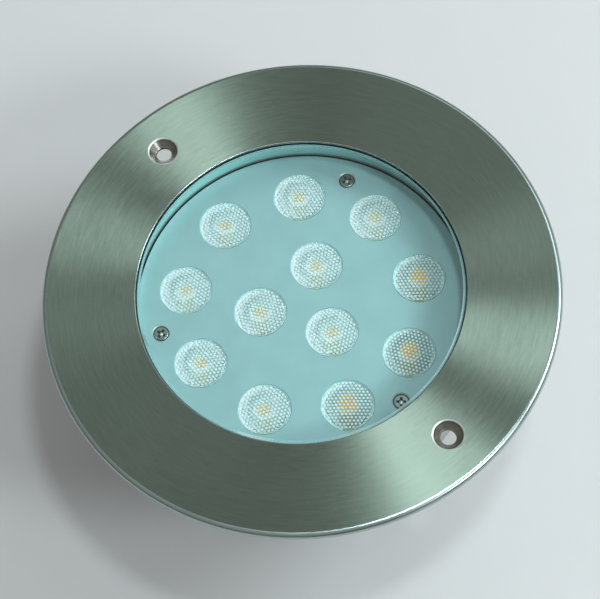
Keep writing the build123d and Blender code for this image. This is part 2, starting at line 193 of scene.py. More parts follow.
# A closed outline of (radius, height) points, drawn by extruding one vertex and spun round the Z axis.
# A level end on the axis becomes one face.
def turned(name, outline, steps=256):
    pickNone()
    bpy.ops.mesh.primitive_plane_add(size=mm)
    piece = started(name)
    bpy.ops.object.mode_set(mode="EDIT")
    bpy.ops.mesh.select_mode(type="VERT")
    pickAll()
    bpy.ops.mesh.merge(type="CENTER")
    bpy.ops.transform.translate(value=(outline[0][0], 0, outline[0][1]))
    for start, end in zip(outline, [*outline[1:], outline[0]]):
        step = (end[0] - start[0], 0, end[1] - start[1])
        bpy.ops.mesh.extrude_vertices_move(TRANSFORM_OT_translate={"value": step})
    pickAll()
    bpy.ops.mesh.spin(steps=steps, angle=2 * pi, center=(0, 0, 0), axis=(0, 0, 1))
    pickAll()
    bpy.ops.mesh.remove_doubles(threshold=mm / 1000)
    bpy.ops.mesh.dissolve_degenerate(threshold=mm / 1000)
    pickAll()
    bpy.ops.mesh.normals_make_consistent(inside=False)
    bpy.ops.mesh.select_all(action="DESELECT")
    done()
    ends = [point[1] for point, beside in zip(outline, [outline[-1], *outline[:-1]])
            if point[0] == 0 and beside[1] == point[1]]
    ends += [point[1] for point, beside in zip(outline, [*outline[1:], outline[0]])
             if point[0] == 0 and beside[1] == point[1] and beside[0] > 0]
    for vertex in piece.data.vertices:
        at = vertex.co
        vertex.select = hypot(at.x, at.y) < mm / 1000 and any(abs(at.z - z) < mm / 1000 for z in ends)
    bpy.ops.object.mode_set(mode="EDIT")
    bpy.ops.mesh.dissolve_verts()
    done()
    return piece


def tubeOutline(inner, outer, bottom, top):
    return [(inner, bottom), (outer, bottom), (outer, top), (inner, top)]


def moved(piece, radius, angle, height=0.0):
    turn = radians(angle)
    piece.location = (radius * cos(turn), radius * sin(turn), height)
    piece.rotation_euler = (0, 0, turn)
    settle(piece)
    return piece


# The same piece at each place on a circle, as one object
def ringOf(piece, name, radius, angles):
    copies = [moved(copied(piece, name), radius, angle) for angle in angles]
    dropped(piece)
    return joined(copies, name)


def addFinishes(piece, names):
    for name in names:
        piece.data.materials.append(materials[name])


def finishOf(piece, names, slot, *replaced):
    piece.data.materials.clear()
    addFinishes(piece, names)
    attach(piece, "root")
    if replaced:
        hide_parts(*replaced)


def paint(piece, index, test):
    for face in piece.data.polygons:
        if test(face.center, face.normal):
            face.material_index = index


# Node groups that many materials share
def wire(tree, source, socket):
    if isinstance(source, bpy.types.NodeSocket):
        tree.links.new(source, socket)
    elif source is not None:
        socket.default_value = source


def calc(tree, operation, first, second=None, third=None):
    node = tree.nodes.new("ShaderNodeMath")
    node.operation = operation
    for source, socket in zip((first, second, third), node.inputs):
        wire(tree, source, socket)
    return node.outputs[0]


def vector(tree, operation, first, second=None, scale=None):
    node = tree.nodes.new("ShaderNodeVectorMath")
    node.operation = operation
    wire(tree, first, node.inputs[0])
    wire(tree, second, node.inputs[1])
    if scale is not None:
        wire(tree, scale, node.inputs["Scale"])
    return node.outputs["Value" if operation == "LENGTH" else "Vector"]


def combined(tree, x, y, z):
    node = tree.nodes.new("ShaderNodeCombineXYZ")
    for source, socket in zip((x, y, z), node.inputs):
        wire(tree, source, socket)
    return node.outputs[0]


def noise(tree, place, scale, detail=2.0, roughness=0.5, dimensions="3D"):
    node = tree.nodes.new("ShaderNodeTexNoise")
    node.noise_dimensions = dimensions
    wire(tree, place, node.inputs["W" if dimensions == "1D" else "Vector"])
    wire(tree, scale, node.inputs["Scale"])
    wire(tree, detail, node.inputs["Detail"])
    wire(tree, roughness, node.inputs["Roughness"])
    return node.outputs[0]


def objectPlace(tree):
    return tree.nodes.new("ShaderNodeTexCoord").outputs["Object"]


def newGroup(name, inputs, outputs):
    tree = bpy.data.node_groups.new(name, "ShaderNodeTree")
    for label, value in inputs.items():
        socket = tree.interface.new_socket(label, in_out="INPUT", socket_type="NodeSocketFloat")
        socket.default_value = value
    for label in outputs:
        tree.interface.new_socket(label, in_out="OUTPUT", socket_type="NodeSocketFloat")
    return tree, tree.nodes.new("NodeGroupInput").outputs, tree.nodes.new("NodeGroupOutput").inputs


# Brush strokes round the Z axis: Strokes is how many start in a radian, Lines how many lie in a metre
def brushedGroup():
    tree, given, result = newGroup("brushedRound", {"Strokes": 12.0, "Lines": 1500.0}, ["Tone", "Height"])
    flat = vector(tree, "MULTIPLY", objectPlace(tree), (1, 1, 0))
    along = vector(tree, "SCALE", vector(tree, "NORMALIZE", flat), scale=given["Strokes"])
    across = calc(tree, "MULTIPLY", vector(tree, "LENGTH", flat), given["Lines"])
    place = vector(tree, "ADD", along, combined(tree, 0, 0, across))
    wire(tree, noise(tree, place, 1.0, 3.0, 0.6), result["Tone"])
    wire(tree, noise(tree, place, 2.7, 2.0, 0.7), result["Height"])
    return tree


# Lathe marks: rings round an axis at Centre on both sides of the middle, that change with radius and height
def turnedGroup():
    tree, given, result = newGroup("turnedMarks", {"Lines": 2500.0, "Centre": 0.0}, ["Tone", "Height"])
    place = vector(tree, "ABSOLUTE", objectPlace(tree))
    offset = vector(tree, "SUBTRACT", place, combined(tree, given["Centre"], 0, 0))
    radius = vector(tree, "LENGTH", vector(tree, "MULTIPLY", offset, (1, 1, 0)))
    height = vector(tree, "LENGTH", vector(tree, "MULTIPLY", place, (0, 0, 1)))
    across = calc(tree, "MULTIPLY", calc(tree, "ADD", radius, height), given["Lines"])
    wire(tree, noise(tree, across, 0.35, 3.0, 0.6, "1D"), result["Tone"])
    wire(tree, noise(tree, across, 1.0, 2.0, 0.6, "1D"), result["Height"])
    return tree


# Even grain of a given size, and slow patches twenty times as large
def grainGroup():
    tree, given, result = newGroup("grain", {"Size": 0.0006}, ["Tone", "Height", "Patches"])
    place = objectPlace(tree)
    scale = calc(tree, "DIVIDE", 1.0, given["Size"])
    wire(tree, noise(tree, place, scale, 3.0, 0.6), result["Tone"])
    wire(tree, noise(tree, place, calc(tree, "MULTIPLY", scale, 2.3), 2.0, 0.6), result["Height"])
    wire(tree, noise(tree, place, calc(tree, "MULTIPLY", scale, 0.05), 2.0, 0.5), result["Patches"])
    return tree


# A few small specks of dust: Spacing apart, Share of the cells with one, Size its radius
def speckGroup():
    inputs = {"Spacing": 0.006, "Share": 0.2, "Size": 0.0003}
    tree, given, result = newGroup("dustSpecks", inputs, ["Mask"])
    cells = tree.nodes.new("ShaderNodeTexVoronoi")
    wire(tree, objectPlace(tree), cells.inputs["Vector"])
    wire(tree, calc(tree, "DIVIDE", 1.0, given["Spacing"]), cells.inputs["Scale"])
    reach = calc(tree, "DIVIDE", given["Size"], given["Spacing"])
    near = calc(tree, "LESS_THAN", cells.outputs["Distance"], reach)
    pickedOut = tree.nodes.new("ShaderNodeSeparateColor")
    wire(tree, cells.outputs["Color"], pickedOut.inputs[0])
    some = calc(tree, "LESS_THAN", pickedOut.outputs[0], given["Share"])
    wire(tree, calc(tree, "MULTIPLY", near, some), result["Mask"])
    return tree


groups = {"brushed": brushedGroup(), "turned": turnedGroup(), "grain": grainGroup(), "specks": speckGroup()}
print("node groups made")


# Materials
def newMaterial(name, look):
    material = bpy.data.materials.new(name)
    material.use_nodes = True
    shader = material.node_tree.nodes["Principled BSDF"]
    for socket, value in look.items():
        shader.inputs[socket].default_value = (*value, 1) if isinstance(value, tuple) else value
    return material, material.node_tree, shader.inputs


def placed(tree, group, **values):
    node = tree.nodes.new("ShaderNodeGroup")
    node.node_tree = groups[group]
    for name, value in values.items():
        node.inputs[name].default_value = value
    return node.outputs


def between(tree, mask, low, high, start=0.3, end=0.7):
    node = tree.nodes.new("ShaderNodeMapRange")
    for socket, source in zip(node.inputs, (mask, start, end, low, high)):
        wire(tree, source, socket)
    return node.outputs[0]


def colourBetween(tree, mask, low, high, start=0.3, end=0.7):
    node = tree.nodes.new("ShaderNodeMix")
    node.data_type = "RGBA"
    wire(tree, between(tree, mask, 0.0, 1.0, start, end), node.inputs["Factor"])
    for source, socket in ((low, node.inputs[6]), (high, node.inputs[7])):
        wire(tree, (*source, 1) if isinstance(source, tuple) else source, socket)
    return node.outputs[2]


def bumped(tree, height, distance, strength=1.0):
    node = tree.nodes.new("ShaderNodeBump")
    node.inputs["Distance"].default_value = distance
    node.inputs["Strength"].default_value = strength
    wire(tree, height, node.inputs["Height"])
    return node.outputs[0]


# Masks added up, each with its share
def shared(tree, masks, shares):
    total = 0.0
    for mask, share in zip(masks, shares):
        total = calc(tree, "MULTIPLY_ADD", mask, share, total)
    return total


def dusted(tree, base, dust):
    specks = placed(tree, "specks", Spacing=dust["spacing"], Share=dust["share"], Size=dust["size"])
    return colourBetween(tree, specks["Mask"], base, dust["colour"], 0.0, 1.0)


ringFace = {
    "dark": (0.205, 0.27, 0.225),
    "light": (0.295, 0.38, 0.315),
    "strokes": 10.0,
    "lines": 1400.0,
    "mottle": 0.0012,
    "shares": (0.6, 0.25, 0.15),  # of strokes, slow patches and fine mottle
    "roughness": (0.34, 0.44),
    "anisotropy": 1.0,
    "relief": 0.00001,
    "dust": {"spacing": 0.011, "share": 0.12, "size": 0.00035, "colour": (0.75, 0.78, 0.76)},
}


# The quarter turn of the anisotropy makes the highlights fan out across the strokes
def brushedSteel(name, look):
    fixed = {"Metallic": 1.0, "Anisotropic": look["anisotropy"], "Anisotropic Rotation": 0.25}
    material, tree, shader = newMaterial(name, fixed)
    strokes = placed(tree, "brushed", Strokes=look["strokes"], Lines=look["lines"])
    mottle = placed(tree, "grain", Size=look["mottle"])
    tone = shared(tree, (strokes["Tone"], mottle["Patches"], mottle["Tone"]), look["shares"])
    base = colourBetween(tree, tone, look["dark"], look["light"])
    wire(tree, dusted(tree, base, look["dust"]), shader["Base Color"])
    wire(tree, between(tree, tone, *look["roughness"]), shader["Roughness"])
    wire(tree, bumped(tree, strokes["Height"], look["relief"]), shader["Normal"])
    around = tree.nodes.new("ShaderNodeTangent")
    around.direction_type = "RADIAL"
    around.axis = "Z"
    wire(tree, around.outputs[0], shader["Tangent"])
    return material


# Dark and light colour, marks in a metre, roughness and relief, then the axis and the size of the patches
turnedLooks = {
    "polishedEdge": ((0.34, 0.43, 0.40), (0.43, 0.53, 0.50), 5000.0, (0.22, 0.30), 0.000002),
    "countersinkCone": ((0.14, 0.13, 0.11), (0.58, 0.58, 0.52), 4200.0, (0.20, 0.32), 0.00001, 0.0822),
    "windowEdge": ((0.30, 0.35, 0.33), (0.38, 0.43, 0.41), 5000.0, (0.12, 0.18), 0.000002),
    "turnedBack": ((0.42, 0.43, 0.42), (0.54, 0.55, 0.54), 1800.0, (0.30, 0.42), 0.000006),
    "drawnCup": ((0.46, 0.47, 0.47), (0.56, 0.57, 0.57), 600.0, (0.26, 0.36), 0.000006, 0.0, 0.002),
    "screwSteel": ((0.28, 0.31, 0.29), (0.46, 0.50, 0.47), 5200.0, (0.22, 0.34), 0.000004),
    "nickelPlate": ((0.56, 0.55, 0.50), (0.66, 0.65, 0.60), 2600.0, (0.14, 0.24), 0.000004),
}


def turnedSteel(name, dark, light, lines, roughness, relief, centre=0.0, patchSize=0.001):
    material, tree, shader = newMaterial(name, {"Metallic": 1.0})
    marks = placed(tree, "turned", Lines=lines, Centre=centre)
    patches = placed(tree, "grain", Size=patchSize)
    wire(tree, colourBetween(tree, marks["Tone"], dark, light), shader["Base Color"])
    rough = calc(tree, "ADD", between(tree, marks["Tone"], *roughness),
                 between(tree, patches["Patches"], -0.04, 0.06))
    wire(tree, rough, shader["Roughness"])
    wire(tree, bumped(tree, marks["Height"], relief), shader["Normal"])
    return material


metal = {"Metallic": 1.0}
plateDust = {"spacing": 0.009, "share": 0.25, "size": 0.00022, "colour": (0.18, 0.32, 0.32)}
grainLooks = {  # dark and light colour, grain size, roughness and relief, then shader values and dust
    "headSteel": ((0.28, 0.34, 0.31), (0.52, 0.59, 0.55), 0.0005, (0.24, 0.36), 0.00002, metal),
    # painted glint: a light steel for small edges and cones that should catch the lamps
    "paintedGlintSteel": ((0.72, 0.76, 0.75), (0.86, 0.90, 0.89), 0.0005, (0.30, 0.42), 0.000004,
                    {"Metallic": 0.6}),
    "boltSteel": ((0.44, 0.45, 0.44), (0.58, 0.59, 0.58), 0.0005, (0.26, 0.38), 0.000006, metal),
    "weldSteel": ((0.34, 0.33, 0.31), (0.54, 0.53, 0.50), 0.0007, (0.32, 0.48), 0.00003, metal),
    "satinPlate": ((0.395, 0.59, 0.61), (0.46, 0.66, 0.68), 0.0005, (0.38, 0.52), 0.00001,
                   {"Metallic": 0.2}, plateDust),
    "satinWall": ((0.60, 0.90, 0.86), (0.68, 0.96, 0.93), 0.0006, (0.28, 0.38), 0.000004, {"Metallic": 0.7}),
    "shadedSink": ((0.010, 0.018, 0.017), (0.025, 0.038, 0.035), 0.0003, (0.40, 0.55), 0.000006,
                   {"Metallic": 0.3}),
    "sealRubber": ((0.004, 0.011, 0.010), (0.010, 0.024, 0.021), 0.0004, (0.60, 0.80), 0.00001,
                   {"Specular IOR Level": 0.25}),
    "lipRubber": ((0.004, 0.018, 0.016), (0.010, 0.038, 0.035), 0.0004, (0.60, 0.80), 0.00001,
                  {"Specular IOR Level": 0.15}),
    "shadedGap": ((0.004, 0.006, 0.006), (0.009, 0.012, 0.012), 0.0004, (0.70, 0.85), 0.00001,
                  {"Specular IOR Level": 0.1}),
    "holderPlastic": ((0.72, 0.74, 0.72), (0.80, 0.82, 0.80), 0.0005, (0.35, 0.50), 0.000004),
    "ledCeramic": ((0.74, 0.74, 0.70), (0.84, 0.84, 0.80), 0.0003, (0.40, 0.55), 0.000004),
    "ledPhosphor": ((0.85, 0.44, 0.03), (0.98, 0.62, 0.08), 0.0002, (0.55, 0.70), 0.00001),
    "tinnedTab": ((0.62, 0.61, 0.58), (0.76, 0.75, 0.72), 0.0003, (0.25, 0.40), 0.00001, metal),
    "boardWhite": ((0.70, 0.72, 0.70), (0.80, 0.81, 0.79), 0.0004, (0.30, 0.42), 0.000006),
    "boardGreen": ((0.01, 0.10, 0.04), (0.02, 0.17, 0.07), 0.0008, (0.28, 0.40), 0.000008),
    "padGrey": ((0.22, 0.24, 0.27), (0.30, 0.32, 0.35), 0.0005, (0.70, 0.85), 0.00002),
    "castAluminium": ((0.60, 0.61, 0.62), (0.72, 0.73, 0.74), 0.0006, (0.32, 0.48), 0.00001, metal),
    "ferrite": ((0.018, 0.018, 0.020), (0.045, 0.045, 0.048), 0.0003, (0.45, 0.65), 0.00001),
    "canSleeve": ((0.010, 0.014, 0.030), (0.022, 0.028, 0.055), 0.001, (0.22, 0.34), 0.000004,
                  {"Coat Weight": 0.3}),
    "terminalPlastic": ((0.03, 0.24, 0.09), (0.05, 0.34, 0.13), 0.0005, (0.38, 0.52), 0.000008),
    "leadSleeve": ((0.52, 0.03, 0.02), (0.66, 0.05, 0.03), 0.0006, (0.34, 0.48), 0.000006),
}


# Paint, plastic, rubber, ceramic or metal with an even grain
def grainy(name, dark, light, size, roughness, relief, fixed=None, dust=None):
    material, tree, shader = newMaterial(name, fixed or {})
    grain = placed(tree, "grain", Size=size)
    tone = shared(tree, (grain["Tone"], grain["Patches"]), (0.5, 0.5))
    base = colourBetween(tree, tone, dark, light)
    wire(tree, dusted(tree, base, dust) if dust else base, shader["Base Color"])
    wire(tree, between(tree, tone, *roughness), shader["Roughness"])
    wire(tree, bumped(tree, grain["Height"], relief), shader["Normal"])
    return material


# Colour, how clear, IOR, roughness, grain size and the tint of the shadow, then whether it is a sheet
clearLooks = {
    "windowGlass": ((0.90, 0.985, 0.975), 1.0, 1.52, (0.0, 0.004), 0.004, (0.90, 0.98, 0.97), True),
    "groundGlass": ((0.70, 0.97, 0.97), 0.88, 1.52, (0.25, 0.38), 0.0004, (0.85, 0.97, 0.96), True),
    "domeSilicone": ((0.99, 0.99, 0.98), 1.0, 1.41, (0.01, 0.03), 0.001, (0.96, 0.96, 0.95)),
}
paleTint, oliveTint, amberTint = (0.94, 0.97, 0.96), (0.95, 0.96, 0.92), (0.96, 0.95, 0.90)
lensLooks = {  # colour, how clear, roughness, tint of its shadow
    "lensPlastic": ((0.985, 0.995, 0.99), 1.0, (0.03, 0.08), paleTint),
    # painted highlight: the near-white, nearly opaque bead tops stand for each bead's glint
    "beadTopHighlight": ((1.0, 0.95, 0.98), 0.05, (0.18, 0.30), paleTint),
    "beadSide": ((0.64, 0.87, 0.89), 0.5, (0.05, 0.10), paleTint),
    # painted shade: darker copies of the bead materials for the lenses that lie in shade
    "beadSideHalfShade": ((0.42, 0.67, 0.67), 0.5, (0.05, 0.10), paleTint),
    "beadSideDeepShade": ((0.27, 0.52, 0.52), 0.5, (0.05, 0.10), paleTint),
    # painted glow, on the side the light comes from and in an arc below the core
    "beadPaintedGlow": ((0.86, 0.93, 0.97), 0.25, (0.10, 0.16), paleTint),
    "beadOlive": ((0.58, 0.72, 0.60), 0.4, (0.05, 0.10), oliveTint),
    "beadOliveShaded": ((0.36, 0.44, 0.31), 0.4, (0.05, 0.10), oliveTint),
    "beadAmber": ((0.86, 0.66, 0.32), 0.3, (0.05, 0.10), amberTint),
    "beadAmberShaded": ((0.86, 0.50, 0.10), 0.25, (0.05, 0.10), amberTint),
    "lensRim": ((0.62, 0.84, 0.85), 0.6, (0.10, 0.16), paleTint),
}
lensIor, lensGrain = 1.49, 0.001


# Clear material whose shadow rays pass. A sheet also lets pass the rays that leave the surfaces behind it,
# which would otherwise be lit twice.
def clear(name, colour, part, ior, roughness, size, tint, sheet=False):
    fixed = {"Transmission Weight": part, "IOR": ior, "Base Color": colour}
    material, tree, shader = newMaterial(name, fixed)
    grain = placed(tree, "grain", Size=size)
    wire(tree, between(tree, grain["Tone"], *roughness), shader["Roughness"])
    passing = tree.nodes.new("ShaderNodeBsdfTransparent")
    passing.inputs["Color"].default_value = (*tint, 1)
    light = tree.nodes.new("ShaderNodeLightPath")

    def byRay(ray, otherwise, shader):
        mix = tree.nodes.new("ShaderNodeMixShader")
        for source, socket in zip((light.outputs[ray], otherwise, shader), mix.inputs):
            wire(tree, source, socket)
        return mix.outputs[0]

    surface = tree.nodes["Principled BSDF"].outputs[0]
    if sheet:
        mirrored = byRay("Is Transmission Ray", passing.outputs[0], surface)
        surface = byRay("Is Glossy Ray", surface, mirrored)
        surface = byRay("Is Diffuse Ray", surface, passing.outputs[0])
    surface = byRay("Is Shadow Ray", surface, passing.outputs[0])
    wire(tree, surface, tree.nodes["Material Output"].inputs["Surface"])
    return material


materials = {"brushedRingFace": brushedSteel("brushedRingFace", ringFace)}
materials.update({name: turnedSteel(name, *look) for name, look in turnedLooks.items()})
materials.update({name: grainy(name, *look) for name, look in grainLooks.items()})
materials.update({name: clear(name, *look) for name, look in clearLooks.items()})
for name, (colour, part, roughness, tint) in lensLooks.items():
    materials[name] = clear(name, colour, part, lensIor, roughness, lensGrain, tint)
print("materials made:", len(materials))


# Where the eight clamp screws stand, and a cutter at each of them
clampPlaces = {"circle": 73.25 * mm, "angles": [45 * (k + 0.5) for k in range(8)]}


def clampCutters(outline, steps):
    return [moved(turned("clampCutter", outline, steps), clampPlaces["circle"], angle)
            for angle in clampPlaces["angles"]]


# Face ring: flat brushed face, fully rounded rim, countersunk holes, and the collar behind
ringSizes = {
    "windowRadius": 63.6 * mm,
    "windowEdge": 0.35 * mm,  # its rounding
    "polishWidth": 0.22 * mm,  # how much of the rounding is polished
    "collarInner": 69.0 * mm,
    "collarOuter": 77.5 * mm,
    "holePlace": 82.2 * mm,
    "holeRadius": 3.0 * mm,
    "sinkRadius": 5.9 * mm,
    "mouthBreak": 0.22 * mm,  # flat chamfer round the countersink
    "tappedRadius": 2.05 * mm,
    "tappedDepth": 7.0 * mm,
    "rimSteps": 16,
    "support": 0.25 * mm,
}


def faceRing(sizes):
    low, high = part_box("face_ring")
    rimRadius = high.z / 2
    rimCentre = high.x - rimRadius
    edge = sizes["windowEdge"]
    outline = [
        (rimCentre, 0),
        (sizes["collarOuter"], 0),
        (sizes["collarOuter"], low.z),
        (sizes["collarInner"], low.z),
        (sizes["collarInner"], 0),
        (sizes["windowRadius"], 0),
    ]
    outline += arc((sizes["windowRadius"] + edge, high.z - edge), edge, 180, 90, 6)
    outline.append((rimCentre - sizes["support"], high.z))
    outline += arc((rimCentre, rimRadius), rimRadius, 90, -90, sizes["rimSteps"])[:-1]
    ring = turned("faceRing", outline, 288)
    cutters = []
    sink, mouth = sizes["sinkRadius"], sizes["mouthBreak"]
    for side in (0, 180):
        cutters.append(moved(turned("fixingCutter", [
            (0, -mm),
            (sizes["holeRadius"], -mm),
            (sizes["holeRadius"], high.z - sink + sizes["holeRadius"]),
            (sink - mouth, high.z - mouth),
            (sink + mouth, high.z),
            (sink + mouth, high.z + mm),
            (0, high.z + mm),
        ], 96), sizes["holePlace"], side))
    tapped, tapEnd = sizes["tappedRadius"], low.z + sizes["tappedDepth"]
    cutters += clampCutters([(0, low.z - mm), (tapped, low.z - mm), (tapped, tapEnd), (0, tapEnd + mm)], 24)
    cut(ring, cutters)
    smooth(ring, 18)
    finishOf(ring, ("turnedBack", "brushedRingFace", "polishedEdge", "countersinkCone", "windowEdge",
                    "paintedGlintSteel"), "brushed_ring", "face_ring")
    face = high.z - 0.01 * mm
    polished = sizes["windowRadius"] + sizes["polishWidth"]

    def byHole(place):
        return hypot(abs(place.x) - sizes["holePlace"], place.y) < sink + mouth

    paint(ring, 1, lambda c, n: n.z > 0.999 and c.z > face)
    paint(ring, 2, lambda c, n: hypot(c.x, c.y) > rimCentre and n.z < 0.999)
    paint(ring, 4, lambda c, n: hypot(c.x, c.y) < polished and c.z > 0)
    paint(ring, 3, lambda c, n: byHole(c) and 0 < c.z < face)
    # the countersinks' mouth chamfer is painted with the glint
    paint(ring, 5, lambda c, n: byHole(c) and 0.85 < n.z < 0.95)


faceRing(ringSizes)
print("face ring done")


# Front glass: a boss in the window on a wider foot, with a ground bevel round its face
glassSizes = {
    "bossRadius": 63.2 * mm,
    "stepHeight": -0.8 * mm,
    "bevelWidth": 1.0 * mm,
    "bevelDrop": 0.5 * mm,
    "footChamfer": 0.6 * mm,
    "clearance": 0.01 * mm,
}


def frontGlass(sizes):
    low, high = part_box("front_glass")
    shrink = sizes["clearance"]
    foot = high.x - shrink
    boss = sizes["bossRadius"] - shrink
    outline = [
        (0, low.z + shrink),
        (foot - sizes["footChamfer"], low.z + shrink),
        (foot, low.z + sizes["footChamfer"]),
        (foot, sizes["stepHeight"] - shrink),
        (boss, sizes["stepHeight"] - shrink),
        (boss, high.z - sizes["bevelDrop"]),
        (boss - sizes["bevelWidth"], high.z),
        (0, high.z),
    ]
    glass = turned("frontGlass", outline, 288)
    smooth(glass, 8)
    finishOf(glass, ("windowGlass", "groundGlass"), "tinted_glass", "front_glass")
    paint(glass, 1, lambda c, n: hypot(c.x, c.y) > boss - sizes["bevelWidth"] and c.z > low.z + 0.1 * mm)


frontGlass(glassSizes)
print("front glass done")


# Gaskets: an L section with a rounded lip round the glass, and a flat ring under it
gasketSizes = {
    "boss": 63.2 * mm,
    "window": 63.6 * mm,
    "foot": 68.5 * mm,
    "leg": -0.8 * mm,
    "lipTop": 2.5 * mm,
    "lipRise": 0.45 * mm,
    "clearance": 0.01 * mm,
    "innerBody": 66.2 * mm,
    "screwHole": 2.25 * mm,
}


def gaskets(sizes):
    gap, boss, foot, window = (sizes[name] for name in ("clearance", "boss", "foot", "window"))
    leg, top, rise = sizes["leg"], sizes["lipTop"], sizes["lipRise"]
    front = turned("frontGasket", [
        (boss + gap, leg + gap), (foot - gap, leg + gap), (foot - gap, -gap), (window - gap, -gap),
        (window - gap, top + rise * 0.8), (window - 0.08 * mm, top + rise),
        (boss + 0.15 * mm, top + rise * 0.8), (boss + gap, top + rise * 0.4),
    ], 288)
    smooth(front)
    finishOf(front, ["lipRubber"], "black_seal", "front_gasket")
    low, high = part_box("body_gasket")
    body = turned("bodyGasket", tubeOutline(sizes["innerBody"], high.x, low.z + gap, high.z - gap), 192)
    cut(body, clampCutters(tubeOutline(0, sizes["screwHole"], low.z - mm, high.z + mm), 24))
    softEdges(body, 0.15 * mm)
    smooth(body)
    finishOf(body, ["sealRubber"], "black_seal", "body_gasket")


gaskets(gasketSizes)
print("gaskets done")


# Lenses: a solid collimator with a sheet of hexagonal beads pressed into its crowned face
lensSizes = {
    "radius": 10.2 * mm,
    "rimWidth": 0.7 * mm,
    "rimHeight": 3.2 * mm,
    "crown": 0.5 * mm,
    "neck": 8.6 * mm,
    "foot": 4.3 * mm,
    "bulge": 0.6 * mm,
    "pocketRadius": 3.1 * mm,
    "pocketDepth": 3.4 * mm,
    "beadPitch": 1.5 * mm,
    "beadHeight": 0.30 * mm,
    "edgeRound": 0.25 * mm,
}
lensTints = {  # what shows through the beads, painted on them: the emitter in the middle, an olive band below, and a painted glow on the side the light comes from and under the core
    "towards": 48.0,  # the side that the light comes from, in degrees
    "core": (1.5 * mm, 2.3 * mm),  # of a usual lens, of a shaded one
    "halo": (2.8 * mm, 4.0 * mm),
    "coreLift": (-0.3 * mm, 0.7 * mm),
    "oliveFrom": 4.4 * mm,
    "oliveHalf": 3.4 * mm,
    "glowShift": 2.6 * mm,  # painted glow: a crescent outside a shifted circle
    "glowFrom": 9.1 * mm,
    "rimGlow": 0.45,  # share of the rim's reach that is painted with the glow
    "rimOlive": 0.985,
    "facing": 0.35,  # how far a bead's side turns up or down to show amber
}
lensPlaces = [(46.4 * mm, 20 + 40 * k) for k in range(9)] + [(16.9 * mm, 120 * k) for k in range(3)]
# painted shade: these lenses lie in the ring's shade and get the darker copies, with deeper amber and olive
shadedLenses = {1: "beadSideDeepShade", 2: "beadSideHalfShade", 9: "beadSideHalfShade"}
beadRows = [30, 48, 63, 48, 66, 68, 58, 63, 48, 66, 68, 33]  # the way each lens's bead rows run
lensSlots = ["lensPlastic", "beadTopHighlight", "beadSide", "beadAmber", "lensRim", "beadPaintedGlow", "beadOlive"]
shadedSlots = ((3, "beadAmberShaded"), (5, "beadSide"), (6, "beadOliveShaded"))


def beadSheet(sizes, height):
    pitch, rise = sizes["beadPitch"], sizes["beadHeight"]
    pickNone()
    bpy.ops.mesh.primitive_circle_add(vertices=6, radius=pitch / sqrt(3), fill_type="NGON")
    bead = started("bead")
    edit(bead)
    pickAll()
    bpy.ops.mesh.inset(thickness=0.12 * pitch, depth=0.50 * rise)
    bpy.ops.mesh.inset(thickness=0.09 * pitch, depth=0.28 * rise)
    bpy.ops.mesh.inset(thickness=0.10 * pitch, depth=0.16 * rise)
    bpy.ops.mesh.poke(offset=0.06 * rise)
    done()
    addFinishes(bead, lensSlots)
    paint(bead, 2, lambda c, n: True)
    # the bead tops get the painted highlight
    paint(bead, 1, lambda c, n: hypot(c.x, c.y) < 0.33 * pitch)
    beads = []
    reach = int(sizes["radius"] / pitch) + 2
    for row in range(-reach, reach + 1):
        for column in range(-reach, reach + 1):
            x = pitch * (column + row % 2 / 2)
            y = pitch * row * sqrt(3) / 2
            if hypot(x, y) < sizes["radius"] + 0.4 * pitch:
                one = copied(bead, "bead")
                one.location = (x, y, 0)
                beads.append(one)
    dropped(bead)
    sheet = joined(beads, "beadSheet")
    settle(sheet)
    edit(sheet)
    pickAll()
    bpy.ops.mesh.remove_doubles(threshold=mm / 1000)
    bpy.ops.mesh.extrude_region_move(TRANSFORM_OT_translate={"value": (0, 0, -1.2 * mm)})
    bpy.ops.transform.resize(value=(1, 1, 0), center_override=(0, 0, -1.2 * mm))
    pickAll()
    bpy.ops.mesh.normals_make_consistent(inside=False)
    done()
    beaded = sizes["radius"] - sizes["rimWidth"]
    disc = turned("beadDisc", tubeOutline(0, beaded, -mm, mm), 96)
    cut(sheet, [disc], "INTERSECT")
    for vertex in sheet.data.vertices:  # the sheet follows the crown
        vertex.co.z += height + sizes["crown"] * (1 - (vertex.co.x ** 2 + vertex.co.y ** 2) / beaded ** 2)
    return sheet


def lensBody(sizes, bottom, top):
    shelf = top - sizes["rimHeight"]
    middle = ((sizes["neck"] + sizes["foot"]) / 2 + sizes["bulge"], (shelf + bottom) / 2 - sizes["bulge"])
    wall = []
    for k in range(13):  # the reflector's bulging wall, a quadratic curve through its middle
        t = k / 12
        weights = ((1 - t) * (1 - 2 * t), 4 * t * (1 - t), t * (2 * t - 1))
        ends = ((sizes["foot"], bottom), middle, (sizes["neck"], shelf))
        wall.append(tuple(sum(w * point[i] for w, point in zip(weights, ends)) for i in (0, 1)))
    edge = sizes["edgeRound"]
    pocket, pocketTop = sizes["pocketRadius"], bottom + sizes["pocketDepth"]
    hollow = arc((0, pocketTop - pocket), pocket, 90, 0, 8)
    hollow[0] = (0, pocketTop)
    outline = wall + [(sizes["radius"], shelf), (sizes["radius"], top - edge)]
    outline += arc((sizes["radius"] - edge, top - edge), edge, 0, 90, 3)[1:]
    outline += [(sizes["radius"] - sizes["rimWidth"], top), (0, top)]
    outline += hollow + [(pocket, bottom)]
    return turned("lensBody", outline, 96)


